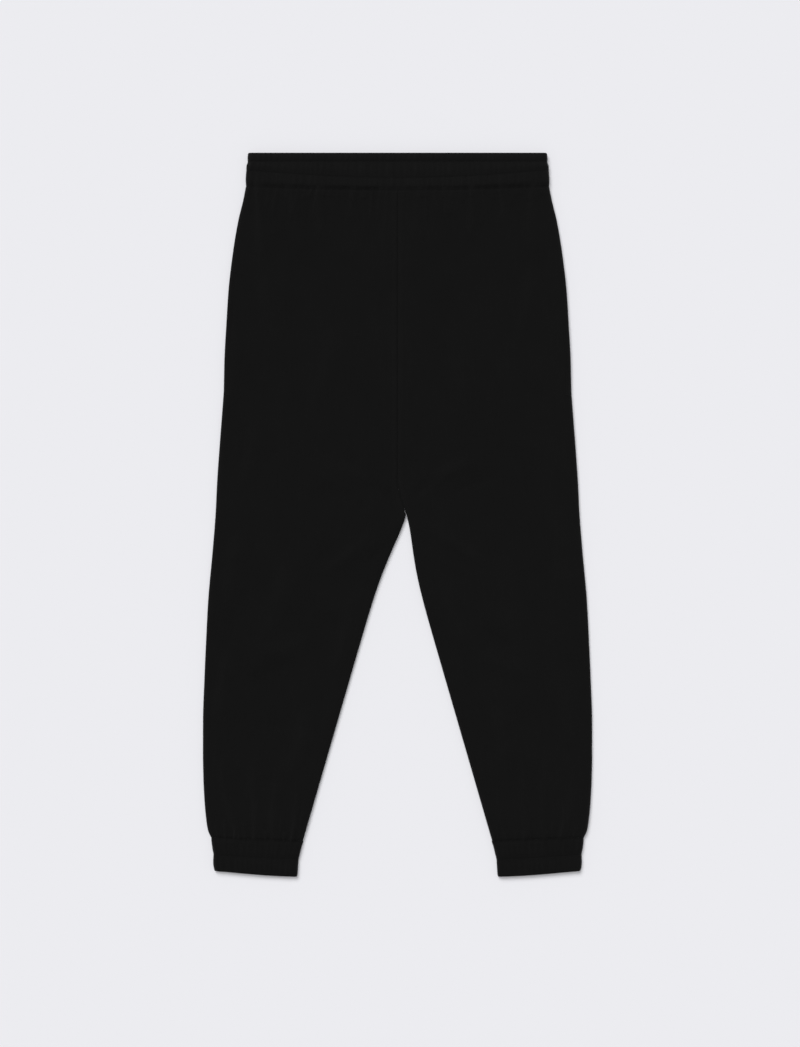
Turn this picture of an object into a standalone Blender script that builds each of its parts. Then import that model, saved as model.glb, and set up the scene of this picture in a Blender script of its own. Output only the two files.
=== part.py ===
"""Jogger sweatpants laid flat, front up: four leg panels, an elastic waistband, two cuffs and two pocket bags.

Sizes are in millimetres, and MM takes them to the scene's metres. X runs across the garment, Y up to its
waist and Z up from the surface it lies on. The origin is on that surface, under the middle of the garment.
A drop is a distance down the garment from the waistband's top edge. Left is the wearer's left, at +X.
"""

import math
from collections import namedtuple

import bmesh
import bpy

MM = 0.001

# Driving sizes
LENGTH = 1000.0  # waistband's top edge to the lowest point of a hem
CLOTH = 2.2  # brushed fleece
SEAM_GAP = 0.3  # between two pieces that are sewn together
SAG = 5.2  # how much lower a seam across the garment lies at its inner end than at the side
WAIST_SEAM = 46.6  # side drop of the seam under the waistband
CROTCH = 495.6  # side drop of the row that ends the centre seams
CUFF_SEAM = 945.6  # side drop of the seam over the cuff
HEM = 992.2  # side drop of the hem

# The legs below the crotch
LEG_SPREAD = 0.29  # how far an inseam moves out for each millimetre of drop
CROTCH_LEAN = 12.2  # the crotch lies this far to the left of the middle
LEAN_BELOW = 145.0  # the lean has gone this far below the crotch
LEAN_ABOVE = 42.0  # and this far above it
LEAN_BELOW_POWER = 1.45
LEAN_ABOVE_POWER = 1.4

# The rolled edges of the panels
EDGE_ROLL = 7.0  # width of the turn from one face to the other
OUTER_STEPS = 3
INNER_STEPS = 3
FLAT_STEPS = 9
ROWS_ABOVE = 15  # rows of faces from the waist seam to the crotch
ROWS_BELOW = 16  # rows of faces from the crotch to the cuff seam
EASE_ABOVE = 0.05  # how much closer the rows lie near the seams
EASE_BELOW = 0.10

# The waistband and the cuffs
BAND_SLIT = 1.0  # gap inside the flattened waistband
BAND_MOUTH = 2.2  # the same gap at its top edge
BAND_ROLL = 6.0
BAND_ACROSS = 12
CUFF_SLIT = 1.4
CUFF_MOUTH = 2.4
CUFF_ROLL = 5.0
CUFF_ACROSS = 6
HEM_SAG = 7.8  # the hems slope more than the seams over the cuffs
LOOP_STEPS = 3  # steps in a quarter turn of a flattened tube's edge
UNDER_SHARE = 0.25  # share of a stitched row's pinch that is taken from below

# The pockets in the side seams
MOUTH_TOP = 160.0
MOUTH_FOOT = 330.0
MOUTH_RAMP = 16.0  # length over which the mouth opens at each end
MOUTH_LIFT = 0.9  # how far each edge stands off at the mouth
BAG_CLOTH = 0.8
BAG_GAP = 0.4  # between a bag and the leg panels it lies between
BAG_INSET = 8.0  # from the side seam to the bag's edge
BAG_STEPS = 4
BAG_TURN_STEPS = 2

FLEECE_COLOUR = (0.0075, 0.0075, 0.0077, 1.0)
CASING_COLOUR = (0.0072, 0.0072, 0.0075, 1.0)
BAG_COLOUR = (0.0065, 0.0065, 0.0068, 1.0)

SideRow = namedtuple("SideRow", "drop half_width height")
SIDE_ROWS = [
    SideRow(46.6, 210.0, 7.6),
    SideRow(65, 213.6, 7.2),
    SideRow(93, 220.2, 7.0),
    SideRow(134, 227.0, 7.2),
    SideRow(189, 233.8, 7.3),
    SideRow(231, 236.6, 7.3),
    SideRow(286, 239.3, 7.3),
    SideRow(329, 240.2, 7.2),
    SideRow(342, 241.3, 7.1),
    SideRow(397, 245.4, 6.9),
    SideRow(452, 249.3, 6.7),
    SideRow(500, 252.0, 6.7),
    SideRow(549, 255.6, 6.5),
    SideRow(618, 261.6, 6.4),
    SideRow(673, 264.7, 6.4),
    SideRow(728, 267.2, 6.5),
    SideRow(784, 268.9, 6.6),
    SideRow(830, 269.0, 6.7),
    SideRow(866, 268.3, 7.0),
    SideRow(894, 266.9, 7.4),
    SideRow(922, 264.4, 8.0),
    SideRow(936, 261.9, 7.8),
    SideRow(945.6, 257.8, 7.0),
]

# A fold is a soft ridge along a line from its top to its foot.
Fold = namedtuple("Fold", "top_x top_drop foot_x foot_drop half_width rise")
FOLDS = [
    Fold(-191, 40, -189, 165, 24, 0.7),
    Fold(-187, 165, -160, 285, 26, 0.6),
    Fold(-108, 44, -104, 128, 24, 0.5),
    Fold(2, 46, 2, 190, 60, 0.6),
    Fold(2, 190, 3, 410, 44, 0.6),
    Fold(103, 44, 100, 124, 24, 0.5),
    Fold(186, 40, 183, 160, 24, 0.7),
    Fold(183, 160, 160, 290, 26, 0.6),
    Fold(-214, 868, -206, 940, 18, 0.3),
    Fold(-166, 850, -172, 938, 20, 0.3),
    Fold(172, 856, 178, 940, 20, 0.3),
    Fold(222, 872, 214, 938, 18, 0.3),
]

# Shares of the waistband's height at which its rows lie, at the side and at the middle.
BandRow = namedtuple("BandRow", "side_share middle_share height half_width")
BAND_ROWS = [
    BandRow(0.00, 0.00, 7.6, 205.6),  # top fold
    BandRow(0.05, 0.04, 9.6, 206.8),
    BandRow(0.14, 0.13, 10.4, 207.4),
    BandRow(0.26, 0.24, 9.0, 207.4),  # upper row of stitches
    BandRow(0.38, 0.46, 10.8, 209.0),
    BandRow(0.52, 0.68, 8.8, 209.2),  # lower row of stitches
    BandRow(0.76, 0.84, 10.6, 209.9),
    BandRow(0.93, 0.94, 9.6, 209.7),
    BandRow(1.00, 1.00, 8.4, 209.6),  # seam to the panels
]
BAND_HEIGHT = max(row.height for row in BAND_ROWS)

CuffRow = namedtuple("CuffRow", "share height outer inner")
CUFF_ROWS = [
    CuffRow(0.00, 7.0, 257.5, 129.8),  # seam to the panels
    CuffRow(0.15, 7.8, 256.9, 132.4),
    CuffRow(0.34, 7.9, 256.0, 134.7),
    CuffRow(0.53, 6.9, 254.6, 136.8),  # row of stitches
    CuffRow(0.72, 7.9, 254.9, 137.6),
    CuffRow(0.93, 7.6, 253.8, 138.3),
    CuffRow(1.00, 6.2, 251.6, 139.2),  # hem fold
]
CUFF_HEIGHT = max(row.height for row in CUFF_ROWS)

BagRow = namedtuple("BagRow", "drop reach")
BAG_ROWS = [
    BagRow(148, 34),
    BagRow(166, 72),
    BagRow(215, 104),
    BagRow(280, 122),
    BagRow(340, 126),
    BagRow(385, 104),
    BagRow(408, 52),
]


def blend(start, end, share):
    return start + (end - start) * share


def smooth_step(value):
    value = min(max(value, 0.0), 1.0)
    return value * value * (3.0 - 2.0 * value)


def curve_through(rows, place, column):
    """A smooth curve through a column of a table, which never swings past its rows."""
    xs = [getattr(row, place) for row in rows]
    ys = [getattr(row, column) for row in rows]
    steps = [(ys[i + 1] - ys[i]) / (xs[i + 1] - xs[i]) for i in range(len(xs) - 1)]
    slopes = [steps[0]]
    for before, after in zip(steps, steps[1:]):
        turns = before * after <= 0.0
        slopes.append(0.0 if turns else 2.0 * before * after / (before + after))
    slopes.append(steps[-1])

    def value(x):
        x = min(max(x, xs[0]), xs[-1])
        i = max(j for j in range(len(xs) - 1) if xs[j] <= x)
        span = xs[i + 1] - xs[i]
        t = (x - xs[i]) / span
        rise = ys[i + 1] - ys[i]
        bend = slopes[i] * span * (t - 2 * t**2 + t**3) + slopes[i + 1] * span * (t**3 - t**2)
        return ys[i] + rise * (3 * t**2 - 2 * t**3) + bend

    return value


half_width_at = curve_through(SIDE_ROWS, "drop", "half_width")
lay_height_at = curve_through(SIDE_ROWS, "drop", "height")


def crotch_lean(drop):
    """How far the centre seams and the inseams lean to the left near the crotch."""
    below = drop - (CROTCH + SAG)
    if below >= 0.0:
        left = max(1.0 - below / LEAN_BELOW, 0.0)
        return CROTCH_LEAN * left**LEAN_BELOW_POWER
    left = max(1.0 + below / LEAN_ABOVE, 0.0)
    return CROTCH_LEAN * left**LEAN_ABOVE_POWER


def inner_edge(side, drop):
    """X of a leg's inner edge: the centre seam above the crotch and the inseam below it."""
    half_gap = LEG_SPREAD * max(drop - (CROTCH + SAG), 0.0)
    return crotch_lean(drop) + side * (half_gap + SEAM_GAP / 2)


def sag_at(share, side_drop):
    """Extra drop of a point that lies at this share of the way from the inner edge to the side."""
    down_leg = smooth_step((side_drop - WAIST_SEAM) / (CROTCH - WAIST_SEAM))
    return SAG * blend(1.0 - share**2, 1.0 - share, down_leg)


def fold_rise(x, drop):
    """Height that the folds add to the upper face at a point."""
    total = 0.0
    for fold in FOLDS:
        run_x = fold.foot_x - fold.top_x
        run_drop = fold.foot_drop - fold.top_drop
        along = (x - fold.top_x) * run_x + (drop - fold.top_drop) * run_drop
        along = min(max(along / (run_x**2 + run_drop**2), 0.0), 1.0)
        off = math.hypot(x - fold.top_x - along * run_x, drop - fold.top_drop - along * run_drop)
        nearness = max(1.0 - (off / fold.half_width) ** 2, 0.0)
        total = max(total, fold.rise * nearness**2)
    return total


def upper_face(x, side_drop, drop):
    return lay_height_at(side_drop) + fold_rise(x, drop)


def mouth_lift(side_drop):
    """How far each edge of the side seam stands off to open the pocket."""
    opening = smooth_step((side_drop - MOUTH_TOP) / MOUTH_RAMP)
    closing = smooth_step((MOUTH_FOOT - side_drop) / MOUTH_RAMP)
    return MOUTH_LIFT * opening * closing


def eased_rows(start, end, count, ease):
    """Drops from start to end, closer together near both."""
    rows = []
    for i in range(count + 1):
        share = i / count
        share -= ease * math.sin(2.0 * math.pi * share)
        rows.append(blend(start, end, share))
    return rows


def place(x, drop, z):
    return (x * MM, (LENGTH / 2 - drop) * MM, z * MM)


def panel_row(side, face, side_drop):
    """One row of a leg panel, from the inner edge to the side: its outer points and its inner points."""
    inner = inner_edge(side, side_drop + SAG)
    outer = side * half_width_at(side_drop)
    middle = lay_height_at(side_drop) / 2
    inseam_roll = smooth_step((side_drop - CROTCH) / EDGE_ROLL)  # none at the centre seams
    side_stand_off = SEAM_GAP / 2 + mouth_lift(side_drop)

    # Each column has an edge, the way in from it, its angle round the roll, and how full the roll is there.
    columns = []
    for i in range(INNER_STEPS):
        angle = math.pi / 2 * i / INNER_STEPS
        columns.append((inner, side, angle, inseam_roll, SEAM_GAP / 2))
    for i in range(FLAT_STEPS + 1):
        x = blend(inner + side * EDGE_ROLL, outer - side * EDGE_ROLL, i / FLAT_STEPS)
        columns.append((x, 0, math.pi / 2, 1.0, SEAM_GAP / 2))
    for i in reversed(range(OUTER_STEPS)):
        angle = math.pi / 2 * i / OUTER_STEPS
        columns.append((outer, -side, angle, 1.0, side_stand_off))

    skin, lining = [], []
    for edge, inward, angle, roundness, stand_off in columns:
        turned = 1.0 - math.cos(angle)
        x = edge + inward * EDGE_ROLL * turned
        x_in = blend(x, edge + inward * blend(CLOTH, EDGE_ROLL, turned), roundness)
        share = (x - inner) / (outer - inner)
        drop = side_drop + sag_at(share, side_drop)
        top = upper_face(x, side_drop, drop) if face == "front" else 2.0 * middle
        rise = blend(1.0, math.sin(angle), roundness)
        off_seam = stand_off * (1.0 - rise)
        z = middle + (top - middle) * rise + off_seam
        z_in = middle + (top - CLOTH - middle) * rise + off_seam
        if face == "back":
            z, z_in = 2.0 * middle - z, 2.0 * middle - z_in
        skin.append(place(x, drop, z))
        lining.append(place(x_in, drop, z_in))
    return skin, lining


def add_object(name, mesh_builder, colour, roughness):
    """Makes an object of its own material from a bmesh whose faces form one closed body."""
    bmesh.ops.recalc_face_normals(mesh_builder, faces=mesh_builder.faces)
    mesh = bpy.data.meshes.new(name)
    mesh_builder.to_mesh(mesh)
    mesh_builder.free()
    mesh.shade_smooth()
    mesh.set_sharp_from_angle(angle=math.radians(50))
    material = bpy.data.materials.new(name)
    material.use_nodes = True
    shader = material.node_tree.nodes["Principled BSDF"]
    shader.inputs["Base Color"].default_value = colour
    shader.inputs["Roughness"].default_value = roughness
    shader.inputs["Metallic"].default_value = 0.0
    mesh.materials.append(material)
    thing = bpy.data.objects.new(name, mesh)
    bpy.context.scene.collection.objects.link(thing)
    return thing


def add_grid(builder, rows, closed=False):
    """Faces between rows of points. Returns the rows' vertices."""
    verts = [[builder.verts.new(point) for point in row] for row in rows]
    for upper, lower in zip(verts, verts[1:]):
        add_strip(builder, upper, lower, closed)
    return verts


def add_strip(builder, one, other, closed=False):
    """Faces between two rows of vertices, of which the closed ones run all round."""
    last = len(one) if closed else len(one) - 1
    for i in range(last):
        j = (i + 1) % len(one)
        builder.faces.new((one[i], one[j], other[j], other[i]))


def add_sheet(name, skin_rows, lining_rows, colour, roughness):
    """A wall of cloth between two grids of points, closed round its edges."""
    builder = bmesh.new()
    skin = add_grid(builder, skin_rows)
    lining = add_grid(builder, lining_rows)
    add_strip(builder, skin[0], lining[0])
    add_strip(builder, skin[-1], lining[-1])
    add_strip(builder, [row[0] for row in skin], [row[0] for row in lining])
    add_strip(builder, [row[-1] for row in skin], [row[-1] for row in lining])
    return add_object(name, builder, colour, roughness)


def add_tube(name, skin_loops, lining_loops, colour, roughness):
    """A flattened tube with a wall, open at both ends."""
    builder = bmesh.new()
    skin = add_grid(builder, skin_loops, closed=True)
    lining = add_grid(builder, lining_loops, closed=True)
    add_strip(builder, skin[0], lining[0], closed=True)
    add_strip(builder, skin[-1], lining[-1], closed=True)
    return add_object(name, builder, colour, roughness)


def flat_loop(left, right, low, high, roll, across):
    """Points (x, z) round a flattened tube: along its top, round its right edge, back under it and up."""
    middle = (low + high) / 2
    half = (high - low) / 2
    points = []
    for i in range(across + 1):
        points.append((blend(left + roll, right - roll, i / across), high))
    for i in range(1, 2 * LOOP_STEPS):
        angle = math.pi / 2 * (1.0 - i / LOOP_STEPS)
        points.append((right - roll + roll * math.cos(angle), middle + half * math.sin(angle)))
    for i in range(across + 1):
        points.append((blend(right - roll, left + roll, i / across), low))
    for i in range(1, 2 * LOOP_STEPS):
        angle = math.pi / 2 * (1.0 - i / LOOP_STEPS)
        points.append((left + roll - roll * math.cos(angle), middle - half * math.sin(angle)))
    return points


def tube_loops(left, right, low, height, slit, roll, across):
    """The outer loop of a flattened tube and the loop of the slit inside it."""
    wall = (height - slit) / 2
    outer = flat_loop(left, right, low, low + height, roll, across)
    inner_roll = min(roll - 1.0, slit)
    inner = flat_loop(left + wall, right - wall, low + wall, low + wall + slit, inner_roll, across)
    return outer, inner


def make_panel(name, side, face):
    rows = eased_rows(WAIST_SEAM, CROTCH, ROWS_ABOVE, EASE_ABOVE)
    rows += eased_rows(CROTCH, CUFF_SEAM, ROWS_BELOW, EASE_BELOW)[1:]
    rows[0] += SEAM_GAP / 2
    rows[-1] -= SEAM_GAP / 2
    skin_rows, lining_rows = [], []
    for side_drop in rows:
        skin, lining = panel_row(side, face, side_drop)
        skin_rows.append(skin)
        lining_rows.append(lining)
    return add_sheet(name, skin_rows, lining_rows, FLEECE_COLOUR, 0.95)


def make_waistband():
    skin_loops, lining_loops = [], []
    for row in BAND_ROWS:
        low = UNDER_SHARE * (BAND_HEIGHT - row.height)
        slit = BAND_MOUTH if row is BAND_ROWS[0] else BAND_SLIT
        loops = tube_loops(
            -row.half_width, row.half_width, low, row.height, slit, BAND_ROLL, BAND_ACROSS
        )
        for points, store in zip(loops, (skin_loops, lining_loops)):
            loop = []
            for x, z in points:
                outward = min(abs(x) / row.half_width, 1.0)
                seam = WAIST_SEAM + SAG * (1.0 - outward**2) - SEAM_GAP / 2
                share = blend(row.middle_share, row.side_share, outward**2)
                loop.append(place(x, seam * share, z))
            store.append(loop)
    return add_tube("waistband", skin_loops, lining_loops, CASING_COLOUR, 0.92)


def make_cuff(name, side):
    skin_loops, lining_loops = [], []
    for row in CUFF_ROWS:
        low = UNDER_SHARE * (CUFF_HEIGHT - row.height)
        slit = CUFF_MOUTH if row is CUFF_ROWS[-1] else CUFF_SLIT
        left, right = sorted((side * row.inner, side * row.outer))
        loops = tube_loops(left, right, low, row.height, slit, CUFF_ROLL, CUFF_ACROSS)
        for points, store in zip(loops, (skin_loops, lining_loops)):
            loop = []
            for x, z in points:
                inward = (row.outer - abs(x)) / (row.outer - row.inner)
                top = CUFF_SEAM + SAG * inward + SEAM_GAP / 2
                foot = HEM + HEM_SAG * inward
                loop.append(place(x, blend(top, foot, row.share), z))
            store.append(loop)
    return add_tube(name, skin_loops, lining_loops, CASING_COLOUR, 0.92)


def bag_row(side, row):
    """One row of a pocket bag: over the top from the pocket's mouth, round its fold and back underneath."""
    start = half_width_at(row.drop) - BAG_INSET
    end = start - row.reach
    skin, lining = [], []
    low = CLOTH + BAG_GAP
    high = lay_height_at(row.drop) - CLOTH - BAG_GAP
    for layer in ("upper", "lower"):
        for i in range(BAG_STEPS + 1):
            share = i / BAG_STEPS if layer == "upper" else 1.0 - i / BAG_STEPS
            x = blend(start, end, share)
            z, z_in = (high, high - BAG_CLOTH) if layer == "upper" else (low, low + BAG_CLOTH)
            skin.append(place(side * x, row.drop, z))
            lining.append(place(side * x, row.drop, z_in))
        if layer == "upper":
            for i in range(1, BAG_TURN_STEPS + 1):
                angle = math.pi * i / (BAG_TURN_STEPS + 1)
                half = (high - low) / 2
                half_in = half - BAG_CLOTH
                x_out = end - half * math.sin(angle)
                x_in = end - half_in * math.sin(angle)
                skin.append(place(side * x_out, row.drop, low + half + half * math.cos(angle)))
                lining.append(place(side * x_in, row.drop, low + half + half_in * math.cos(angle)))
    return skin, lining


def make_pocket_bag(name, side):
    rows = [bag_row(side, row) for row in BAG_ROWS]
    skin_rows = [skin for skin, _ in rows]
    lining_rows = [lining for _, lining in rows]
    return add_sheet(name, skin_rows, lining_rows, BAG_COLOUR, 0.85)


def clear_scene():
    for thing in list(bpy.data.objects):
        bpy.data.objects.remove(thing, do_unlink=True)


def main():
    clear_scene()
    for label, side in (("left", 1), ("right", -1)):
        make_panel(f"front_{label}", side, "front")
        make_panel(f"back_{label}", side, "back")
        make_cuff(f"cuff_{label}", side)
        make_pocket_bag(f"pocket_bag_{label}", side)
    make_waistband()


main()
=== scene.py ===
"""Looks of jogger sweatpants laid flat: fleece legs, elastic waistband and cuffs, side pockets, stitches.

Sizes are in millimetres, and MM takes them to the scene's metres. X runs across the garment, Y up to its
waist and Z up from the surface it lies on. A drop is a distance down the garment from the waistband's top
edge, and a side drop is the same distance measured at the side seam. Left is the wearer's left, at +X.
"""

import math
from collections import namedtuple
from functools import partial
from itertools import count, repeat

import bpy
import numpy as np
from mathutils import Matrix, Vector


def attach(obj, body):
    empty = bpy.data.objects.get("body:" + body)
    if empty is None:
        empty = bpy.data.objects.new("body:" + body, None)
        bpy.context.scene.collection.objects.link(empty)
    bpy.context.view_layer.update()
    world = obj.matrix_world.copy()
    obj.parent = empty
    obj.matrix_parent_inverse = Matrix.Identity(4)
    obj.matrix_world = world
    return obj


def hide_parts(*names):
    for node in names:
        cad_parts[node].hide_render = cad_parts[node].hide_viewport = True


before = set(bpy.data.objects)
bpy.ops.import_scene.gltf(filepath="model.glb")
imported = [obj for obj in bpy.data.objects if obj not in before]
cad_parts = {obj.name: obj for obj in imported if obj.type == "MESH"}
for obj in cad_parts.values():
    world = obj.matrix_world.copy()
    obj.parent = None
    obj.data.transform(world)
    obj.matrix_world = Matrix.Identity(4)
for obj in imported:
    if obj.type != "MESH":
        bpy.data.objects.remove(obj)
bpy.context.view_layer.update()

MM = 0.001
UP = (0.0, 0.0, 1.0)

# Sizes of the garment
LENGTH = 1000.0
CLOTH = 2.2  # brushed fleece
SEAM_GAP = 0.08  # between two pieces that are sewn together
SAG = 5.2  # how much lower a seam across a leg lies at its inner end than at the side
WAIST_SEAM = 46.6
CROTCH = 495.6
CUFF_SEAM = 945.6
HEM = 992.5
HEM_SAG = 7.8
HEM_BOW = 1.1  # how far the hem bows out between its ends
HEM_BOW_POWER = 1.4  # over 1, the bow is fullest nearer the inseam

# The legs near the crotch
LEG_SPREAD = 0.29  # what half the gap between the legs gains with each millimetre down
SPREAD_START = 2.0  # the legs part gradually, over a few times this drop
CROTCH_LEAN = 12.2  # how far left of the middle the crotch lies
LEAN_BELOW, LEAN_BELOW_POWER = 65.0, 1.8  # how far below the crotch it leans, and how suddenly that ends
LEAN_ABOVE, LEAN_ABOVE_POWER = 46.0, 1.2  # the same above the crotch
SLIT = 0.26  # half width of a narrow slit at the crotch
SLIT_TOP, SLIT_RAMP = 12.0, 4.0  # how far above the crotch it starts, and the drop over which it opens
SLIT_END = 6.0  # how far below it has merged with the gap
BACK_SEAM_SHIFT = 1.8  # the back's centre seam lies this far beside the front's
SHIFT_ENDS, SHIFT_FADE = 452.0, 70.0  # the drop by which that shift has gone, and over which it fades

# Rolled edges of the panels, and their seams
EDGE_ROLL = 7.0
SEAM_DIP, SEAM_REACH = 0.9, 1.5  # depth and half width of the groove at a seam
CENTRE_DIP, CENTRE_RIPPLE = 0.5, 0.18  # the same depth at the centre seam, and how much it wavers
CENTRE_START = 5.0  # that groove deepens over this drop below the waistband
EDGE_GROOVE = 0.45  # depth of the groove round an edge, where front and back are joined
ALLOWANCE, ALLOWANCE_RISE = 8.0, 0.28  # the seam allowance shows through as a low ridge this wide and high
ALLOWANCE_INNER_RAMP, ALLOWANCE_OUTER_RAMP = 2.5, 2.0

# Pockets
MOUTH_TOP, MOUTH_FOOT, MOUTH_RAMP = 160.0, 330.0, 16.0
MOUTH_LIFT = 0.9
MOUTH_STITCH_DIP, MOUTH_STITCH_REACH = 0.35, 1.4  # the groove under the mouth's stitches
BAG_CLOTH, BAG_GAP, BAG_INSET = 0.5, 0.35, 7.0
BAG_LIFT = 0.5  # the most that the front's creases lift a bag

# Elastic casings
CASING_HEIGHT = 50.0  # close to the waistband's and the cuffs' height
BAND_SLIT, BAND_MOUTH, BAND_ROLL = 1.0, 2.2, 6.0
CUFF_SLIT, CUFF_MOUTH, CUFF_ROLL = 1.4, 2.4, 5.0
MOUTH_SHARE = 0.12  # share of a casing's height over which its mouth narrows to its slit
UNDER_SHARE = 0.25  # share of a stitched row's pinch that is taken from below
PINCH, PINCH_REACH = 0.36, 1.3  # extra depth that the thread pulls in, and its half width

# Seeds of the random draws
FRONT_SEED, BACK_SEED = 11, 23
BAND_SEED, CUFF_SEED = 5, 31
BAND_ROW_SEED, CUFF_ROW_SEED, POCKET_ROW_SEED = 20, 3, 8

# The legs at each drop at the side: half the garment's width, and the height at which the front lies
SIDE_ROWS = (
    (46.6, 210.0, 8.5), (65, 213.6, 7.8), (93, 220.4, 7.2), (134, 227.4, 7.2), (189, 233.9, 7.3),
    (231, 236.6, 7.3), (286, 239.6, 7.3), (329, 240.6, 7.2), (342, 241.5, 7.1), (397, 245.7, 6.9),
    (452, 249.6, 6.7), (500, 252.0, 6.7), (549, 255.9, 6.5), (618, 262.1, 6.4), (673, 265.0, 6.4),
    (728, 267.4, 6.5), (784, 269.3, 6.6), (830, 269.4, 6.7), (866, 268.7, 7.0), (894, 267.3, 7.4),
    (922, 264.7, 8.0), (936, 262.4, 7.8), (945.6, 258.4, 7.0),
)

# Rows of the waistband: shares of its height from its top fold, in the middle and at the sides, its
# height as it lies, and half its width
BAND_ROWS = (
    (0.00, 0.00, 7.6, 205.6), (0.04, 0.05, 9.4, 206.8), (0.13, 0.14, 10.1, 207.2),
    (0.24, 0.26, 9.6, 207.2), (0.46, 0.38, 10.4, 208.7), (0.68, 0.52, 9.6, 209.2),
    (0.86, 0.80, 10.1, 209.9), (0.94, 0.93, 9.7, 209.7), (1.00, 1.00, 9.0, 209.6),
)
BAND_STITCH_ROWS = (0.24, 0.68)

# Rows of a cuff: share of its height from its hem fold, its height as it lies, its outer and inner edge
CUFF_ROWS = (
    (0.00, 6.2, 251.6, 139.2), (0.07, 7.6, 253.8, 138.3), (0.28, 7.9, 254.9, 137.6),
    (0.47, 6.9, 254.6, 136.8), (0.66, 7.9, 256.0, 134.7), (0.85, 7.8, 257.2, 132.4),
    (1.00, 7.0, 257.8, 129.8),
)
CUFF_STITCH_ROWS = (0.47,)

# How far a pocket's bag reaches inwards at each drop
BAG_ROWS = (
    (148, 34), (166, 72), (215, 104), (280, 122), (340, 126), (385, 104), (408, 52),
)

# A crease is a soft ridge from its top to its foot, or a trough where its rise is negative. It bows
# sideways, and keeps its height up to the end that a seam holds, if one does.
Crease = namedtuple("Crease", "top_x top_drop foot_x foot_drop half_width rise bow held", defaults=("",))
FRONT_CREASES = [Crease(*row) for row in (
    # below the waistband
    (-194, 48, -189, 168, 9, 2.13, 3, "top"), (-188, 140, -158, 292, 12, 1.80, -5),
    (-150, 50, -143, 98, 7, 1.35, 2, "top"), (-108, 51, -104, 132, 8, 1.91, -2, "top"),
    (-62, 52, -66, 104, 7, 1.24, 1, "top"), (-20, 52, -14, 150, 11, 1.02, 2, "top"),
    (2, 52, 2, 205, 40, 1.35, 0, "top"), (3, 170, 3, 415, 29, 1.47, 2),
    (31, 52, 27, 134, 10, 1.12, -2, "top"), (66, 52, 72, 92, 7, 1.24, 1, "top"),
    (103, 51, 100, 126, 8, 1.91, 2, "top"), (144, 50, 150, 108, 8, 1.35, -2, "top"),
    (188, 48, 184, 160, 9, 2.13, -3, "top"), (186, 138, 158, 298, 12, 1.80, 5),
    # beside the side seams
    (221, 205, 240, 430, 8, 1.02, -2), (-226, 232, -232, 352, 8, 1.02, 2),
    (64, 236, 98, 396, 15, 1.76, 7), (-72, 214, -112, 378, 16, 1.55, -6),
    (204, 318, 224, 462, 13, 1.69, -5), (-196, 344, -216, 476, 12, 1.49, 6),
    (132, 300, 146, 408, 12, -0.80, 4), (-138, 262, -130, 366, 11, -0.75, -4),
    # round the crotch
    (13, 486, 66, 446, 7, -1.13, 5), (30, 474, 122, 420, 10, 1.69, 7), (58, 480, 150, 446, 9, -0.92, 6),
    (8, 490, -50, 452, 8, -1.13, -5), (-16, 474, -106, 428, 10, 1.55, -8),
    (-42, 486, -128, 462, 9, -0.86, -5), (22, 516, 82, 566, 9, -0.93, -4),
    (46, 512, 134, 572, 10, 1.76, -6), (4, 518, -58, 575, 9, -0.93, 5),
    (-22, 512, -120, 588, 11, 1.82, 7),
    # down the legs
    (-120, 640, -72, 668, 13, -1.02, 3), (-150, 540, -196, 706, 17, 2.03, 8),
    (148, 552, 190, 716, 17, 2.16, -9), (-58, 590, -96, 744, 12, 1.82, 6),
    (66, 570, 104, 712, 13, 1.96, -7), (214, 486, 228, 646, 14, 2.03, 6),
    (-216, 512, -230, 640, 13, 1.82, -5), (104, 664, 178, 690, 13, -0.98, 4),
    (112, 686, 200, 722, 12, 1.76, -6), (-112, 668, -204, 690, 13, 1.69, 6),
    (-130, 704, -214, 738, 12, -0.92, -5), (-204, 748, -160, 812, 11, -1.06, 4),
    (94, 706, 118, 796, 11, -1.06, -4), (158, 770, 230, 824, 12, -0.89, 5),
    (212, 690, 240, 846, 13, 2.29, 6), (-222, 664, -246, 812, 13, 2.23, -6),
    (136, 748, 164, 868, 12, 2.09, -5), (-124, 756, -156, 878, 12, 2.16, 5),
    (176, 850, 226, 868, 9, -0.86, 4), (-150, 872, -204, 858, 9, -0.80, 4),
    # above the cuffs
    (-243, 824, -220, 942, 9, 1.40, -5, "foot"), (-206, 838, -196, 944, 8, 1.48, 4, "foot"),
    (-164, 850, -170, 946, 8, 1.35, -3, "foot"), (-138, 866, -146, 946, 6, 1.08, 2, "foot"),
    (246, 836, 226, 942, 9, 1.40, 5, "foot"), (212, 816, 202, 944, 9, 1.35, -5, "foot"),
    (170, 846, 176, 946, 8, 1.40, 3, "foot"), (136, 868, 148, 946, 6, 1.08, -2, "foot"),
)]
CREASE_SKEW = 0.18  # a crease is steeper on one side
CREASE_FADE = 0.38  # share of a crease over which it fades at a free end
HELD_WIDTH, FREE_WIDTH = 0.55, 1.2  # a held crease widens towards its free end


def blend(start, end, share):
    return start + (end - start) * share


def smooth_step(value):
    value = np.clip(value, 0.0, 1.0)
    return value * value * (3.0 - 2.0 * value)


def bump_at(distance, reach):
    """1 where the distance is nothing, and close to 0 from about twice the reach."""
    return np.exp(-((distance / reach) ** 2))


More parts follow.
